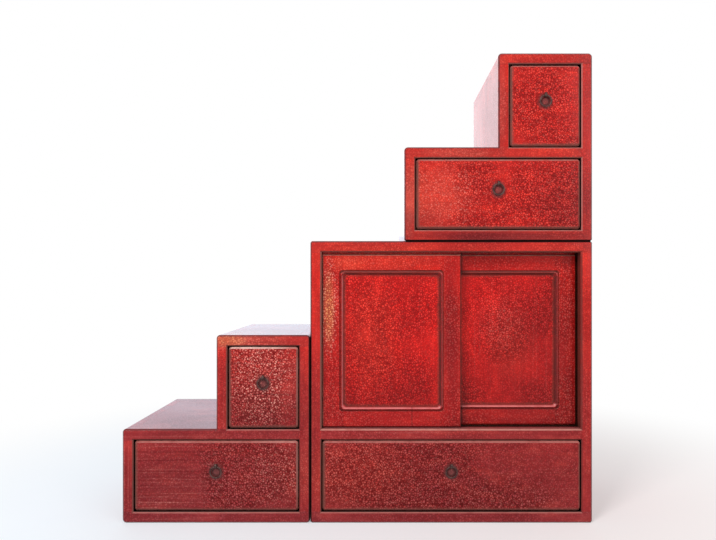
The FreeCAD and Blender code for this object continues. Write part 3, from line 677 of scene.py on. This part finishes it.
def soften(thing, width):
    """Joins the CAD facets, drops the edges inside flat faces, and rounds the edges that are left."""
    thing.modifiers.new("weld", "WELD").merge_threshold = WELD_REACH
    flat = thing.modifiers.new("flat", "DECIMATE")
    flat.decimate_type = "DISSOLVE"
    flat.angle_limit = FLAT_ANGLE
    round_edges(thing, width, EASED_ANGLE)
    thing.modifiers.new("smooth", "NODES").node_group = SMOOTH
    thing.modifiers.new("even", "WEIGHTED_NORMAL").keep_sharp = False


for name, thing in nodes.items():
    thing.data.materials.clear()
    thing.data.materials.append(material_for(name))
    if not name.endswith(("_ring", "_split_pin")):
        soften(thing, EASE if name.endswith("_drawer_front") or "_door_" in name else BOARD_EASE)


# Door frames, with tighter corners round their windows


# From the middle of a window corner's round: where the mould ends, and where the shift has faded out
MOULD_REACH = PANEL_CORNER + BEAD + QUIRK
FADE_REACH = 0.036


def tightened(across, up):
    """A point beside a round corner, moved out along its ray onto a corner of radius MOULD_CORNER."""
    reach = math.hypot(across, up)
    wide, narrow = max(across, up) / reach, min(across, up) / reach
    inset = max(reach - MOULD_CORNER, 0.0)
    spread = inset * (wide + narrow)
    moved = reach / wide
    if moved * narrow > inset:
        moved = spread + math.sqrt(spread ** 2 - 2 * inset ** 2 + MOULD_CORNER ** 2)
    share = min((FADE_REACH - reach) / (FADE_REACH - MOULD_REACH), 1.0)
    growth = 1 + share * (moved / reach - 1)
    return across * growth, up * growth


def door_piece(side, part):
    """A stile or rail of the same make, whose mould turns the window's corners more sharply."""
    node = f"{side}_door_{part}"
    (middle_x, middle_z), (half_x, half_z) = windows[side]
    mesh = nodes[node].data.copy()
    for vertex in mesh.vertices:
        offset_x, offset_z = vertex.co.x - middle_x, vertex.co.z - middle_z
        across = abs(offset_x) - half_x + PANEL_CORNER
        up = abs(offset_z) - half_z + PANEL_CORNER
        if min(across, up) > 0 and math.hypot(across, up) < FADE_REACH:
            new_across, new_up = tightened(across, up)
            vertex.co.x += math.copysign(new_across - across, offset_x)
            vertex.co.z += math.copysign(new_up - up, offset_z)
    thing = bpy.data.objects.new(f"{node}_moulded", mesh)
    scene.collection.objects.link(thing)
    soften(thing, EASE)
    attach(thing, f"{side}_door")
    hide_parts(node)


for side in DOORS:
    for part in ("left_stile", "right_stile", "lower_rail", "upper_rail"):
        door_piece(side, part)


# Ring pulls and their split pins


RING_RADIUS = 0.0146
RING_WIRE = 0.002
# The bar's thickness against RING_WIRE: its mean, how much it varies, and how quickly round the ring
BAR_MEAN = 0.93
BAR_SWING = 0.07
BAR_WAVES = 1.6
# How far apart the rings lie in the noise, so that no two are alike
NOISE_APART = 7.3
RING_STEPS = 72
WIRE_STEPS = 14
STRIP_HALF = 0.003
STRIP_TIP = 0.002
STRIP_THICKNESS = 0.0016
FRONT_THICKNESS = 0.022
PIN_FOOT = 0.014
EYE_INNER = 0.0031
EYE_RISE = 0.003
EYE_STEPS = 11
STRIP_EASE = 0.0004
STRIP_EASED_ANGLE = math.radians(50)


def add_mesh(name, points, faces, material, body):
    mesh = bpy.data.meshes.new(name)
    mesh.from_pydata(points, [], faces)
    mesh.shade_smooth()
    thing = bpy.data.objects.new(name, mesh)
    scene.collection.objects.link(thing)
    mesh.materials.append(material)
    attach(thing, body)
    return thing


def ring_pull(key, number):
    """A hand-forged ring, a little uneven in its bar, in the plane of the drawer front."""
    centre = pulls[key]
    points, faces = [], []
    for step in range(RING_STEPS):
        turn = math.tau * step / RING_STEPS
        across, up = math.sin(turn), math.cos(turn)
        uneven = noise.noise(Vector((across * BAR_WAVES, up * BAR_WAVES, number * NOISE_APART)))
        wire = RING_WIRE * (BAR_MEAN + BAR_SWING * uneven)
        for point in range(WIRE_STEPS):
            roll = math.tau * point / WIRE_STEPS
            reach = RING_RADIUS + wire * math.cos(roll)
            points.append(centre + Vector((across * reach, wire * math.sin(roll), up * reach)))
            following = (step + 1) % RING_STEPS * WIRE_STEPS
            beside = (point + 1) % WIRE_STEPS
            here = step * WIRE_STEPS
            faces.append((here + point, following + point, following + beside, here + beside))
    thing = add_mesh(f"{key}_ring_pull_bar", points, faces, MATERIALS["iron"], f"{key}_ring_pull")
    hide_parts(f"{key}_drawer_ring")


def eye_path(eye_y, pin_z, back):
    """The middle of the strip in Y and Z: from its upper foot round the eye to its lower foot."""
    half = STRIP_THICKNESS / 2
    middle = EYE_INNER + half
    path = [(back, pin_z + PIN_FOOT), (back, pin_z + half), (eye_y + middle, pin_z + half)]
    for rise, first in ((EYE_RISE / 2, 0), (-EYE_RISE / 2, EYE_STEPS)):
        for step in range(first, first + EYE_STEPS + 1):
            turn = math.pi * step / EYE_STEPS
            path.append((eye_y + middle * math.cos(turn), pin_z + rise + middle * math.sin(turn)))
    return path + [(eye_y + middle, pin_z - half), (back, pin_z - half), (back, pin_z - PIN_FOOT)]


def split_pin(key):
    """One iron strip folded round the ring, its two ends through the front and bent over behind it."""
    centre = pulls[key]
    half = STRIP_THICKNESS / 2
    pin_z = centre.z + RING_RADIUS + EYE_RISE / 2
    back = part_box(f"{key}_drawer_front")[0].y + FRONT_THICKNESS + half
    path = eye_path(centre.y, pin_z, back)
    points, faces = [], []
    for step, (y, z) in enumerate(path):
        before = Vector(path[max(step - 1, 0)])
        after = Vector(path[min(step + 1, len(path) - 1)])
        here = Vector((y, z))
        into, out = here - before, after - here
        along = (into.normalized() + out.normalized()).normalized()
        side = Vector((-along.y, along.x))
        lean = out.normalized() if out.length else into.normalized()
        reach = half / max(abs(side.dot(Vector((-lean.y, lean.x)))), 0.5)
        over = min(max((z - pin_z) / (EYE_INNER + EYE_RISE), 0.0), 1.0) if y < back - half else 0.0
        width = STRIP_HALF + (STRIP_TIP - STRIP_HALF) * over
        for sign_x, sign in ((-1, -1), (1, -1), (1, 1), (-1, 1)):
            spot = here + side * reach * sign
            points.append((centre.x + width * sign_x, spot.x, spot.y))
        if step:
            base = step * 4 - 4
            for n in range(4):
                following = (n + 1) % 4
                faces.append((base + n, base + following, base + 4 + following, base + 4 + n))
    faces.append((3, 2, 1, 0))
    last = len(points) - 4
    faces.append((last, last + 1, last + 2, last + 3))
    thing = add_mesh(f"{key}_split_pin_strip", points, faces, MATERIALS["iron"], f"{key}_drawer")
    round_edges(thing, STRIP_EASE, STRIP_EASED_ANGLE)
    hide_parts(f"{key}_drawer_split_pin")


for number, key in enumerate(DRAWERS):
    ring_pull(key, number)
    split_pin(key)


# Stage: a pale floor, soft lamps, the photograph's camera


AMBIENT = 0.52
WHITE = (1, 1, 1, 1)
FLOOR_HALF = 30.0


def seen_ray(t):
    """One for the camera's own rays, and for those by a reflection or through a clear material."""
    path = t.add("ShaderNodeLightPath", {}).outputs
    return t.most(path["Is Camera Ray"], path["Is Glossy Ray"], path["Is Transmission Ray"])


def make_world():
    """Seen as white, but it lights the chest with less."""
    world = bpy.data.worlds.new("studio")
    scene.world = world
    world.use_nodes = True
    t = Tree(world)
    strength = t.ramp(seen_ray(t), 0.0, 1.0, AMBIENT, 1.0)
    background = t.add("ShaderNodeBackground", {"Color": WHITE, "Strength": strength})
    t.add("ShaderNodeOutputWorld", {"Surface": background.outputs[0]})


def floor_material():
    """Pale, cooler on the left and warmer on the right with a painted reflection of the chest's red, and it
    fades into the white background.
    """
    material, t = new_material("pale_floor")
    at = t.add("ShaderNodeTexCoord", {}).outputs["Object"]
    tone = t.mix(t.noise(at, 5.0, 5.0, 0.6), colour(240, 245, 250), colour(250, 252, 254))
    cool = t.mix(0.5, tone, colour(220, 238, 254))
    # Painted reflection of the chest's red on the floor to its right
    warm = t.mix(0.6, tone, colour(250, 226, 220))
    tone = t.mix(t.ramp(t.parts(at)[0], -1.1, 1.1), cool, warm)
    matt = t.add("ShaderNodeBsdfPrincipled", {
        "Base Color": tone, "Roughness": 0.9, "Specular IOR Level": 0.1,
    })
    white = t.add("ShaderNodeEmission", {"Color": WHITE, "Strength": 1.0})
    far = t.ramp(t.vector("LENGTH", at), 0.6, 1.9, 0.35, 1.0)
    faded = t.product(far, seen_ray(t))
    blend = t.add("ShaderNodeMixShader", {0: faded, 1: matt.outputs[0], 2: white.outputs[0]})
    t.add("ShaderNodeOutputMaterial", {"Surface": blend.outputs[0]})
    return material


def make_floor():
    mesh = bpy.data.meshes.new("floor")
    corners = [(x * FLOOR_HALF, y * FLOOR_HALF, 0) for x, y in ((-1, -1), (1, -1), (1, 1), (-1, 1))]
    mesh.from_pydata(corners, [], [(0, 1, 2, 3)])
    mesh.materials.append(floor_material())
    floor = bpy.data.objects.new("floor", mesh)
    scene.collection.objects.link(floor)


def lamp(name, at, aim, width, height, power, tint=(1.0, 1.0, 1.0)):
    data = bpy.data.lights.new(name, "AREA")
    data.shape = "RECTANGLE"
    data.size, data.size_y = width, height
    data.energy = power
    data.color = tint
    thing = bpy.data.objects.new(name, data)
    scene.collection.objects.link(thing)
    thing.location = at
    thing.rotation_euler = (Vector(aim) - Vector(at)).to_track_quat("-Z", "Y").to_euler()
    thing.visible_camera = False
    return thing


make_world()
make_floor()
lamp("key", (-1.9, -3.2, 3.4), (0.1, 0.0, 0.7), 1.3, 1.3, 125.0)
lamp("fill", (2.6, -3.2, 1.6), (0.1, 0.0, 0.6), 2.0, 2.0, 35.0)
lamp("wall_glow", (-0.9, 1.6, 1.7), (-0.9, 0.0, 1.6), 3.2, 1.6, 12.0, (0.8, 0.88, 1.0))
sheen = lamp("low_sheen", (-0.6, 1.6, 0.55), (-0.6, 0.0, 0.55), 3.2, 0.7, 3.0, (0.1, 0.6, 1.0))
sheen.visible_diffuse = False

CAMERA_AT = (0.055, -1.8336, 0.641)
LENS = 30.8
SENSOR_WIDTH = 36.0
PICTURE_WIDTH = 716
# How far the picture's middle lies from the camera's axis, in pixels, right and up
SHIFT_PIXELS = (-20, 12)
camera_data = bpy.data.cameras.new("camera")
camera_data.lens = LENS
camera_data.sensor_width = SENSOR_WIDTH
camera_data.shift_x = SHIFT_PIXELS[0] / PICTURE_WIDTH
camera_data.shift_y = SHIFT_PIXELS[1] / PICTURE_WIDTH
camera = bpy.data.objects.new("camera", camera_data)
scene.collection.objects.link(camera)
camera.location = CAMERA_AT
camera.rotation_euler = (math.pi / 2, 0, 0)
scene.camera = camera

scene.view_settings.view_transform = "Standard"
